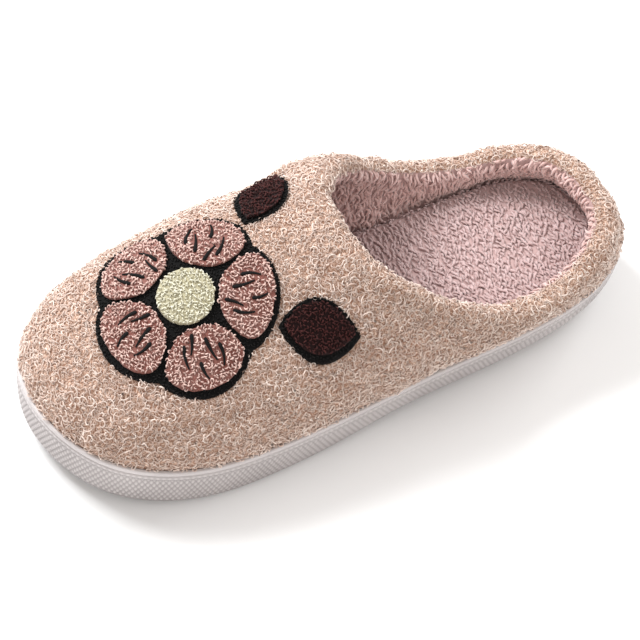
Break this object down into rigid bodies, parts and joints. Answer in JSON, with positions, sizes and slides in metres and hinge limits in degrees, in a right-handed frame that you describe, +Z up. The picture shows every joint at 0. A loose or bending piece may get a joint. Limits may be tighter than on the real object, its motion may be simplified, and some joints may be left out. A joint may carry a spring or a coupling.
{
  "type": "plush slip-on slipper",
  "caption": "Left plush slip-on slipper: hollow padded upper with rolled collar, fleece insole, moulded sole and tufted flower on the vamp.",
  "frame": {"origin": "on the floor, under the middle of the slipper's bounding box", "axes": "+Z up from the floor, -Y towards the toe, +X towards the wearer's left"},
  "size_m": [0.1084, 0.272, 0.0845],
  "materials": {
    "sole": "matt moulded foam rubber, knurled round the side",
    "plush": "looped boucle pile, peach beige",
    "fleece": "long soft fleece, dusty pink",
    "black_felt": "matt black felt with short pile",
    "pink_tuft": "dense looped tufting, mottled dusty pink",
    "cream_tuft": "dense looped tufting, cream",
    "brown_tuft": "dense looped tufting, very dark brown"
  },
  "bodies": {
    "root": {"outsole": "sole", "upper": "plush", "insole": "fleece", "flower_backing": "black_felt", "petal_1": "pink_tuft", "petal_2": "pink_tuft", "petal_3": "pink_tuft", "petal_4": "pink_tuft", "petal_5": "pink_tuft", "flower_centre": "cream_tuft", "leaf_backing_outer": "black_felt", "leaf_outer": "brown_tuft", "leaf_backing_inner": "black_felt", "leaf_inner": "brown_tuft"}
  },
  "joints": []
}
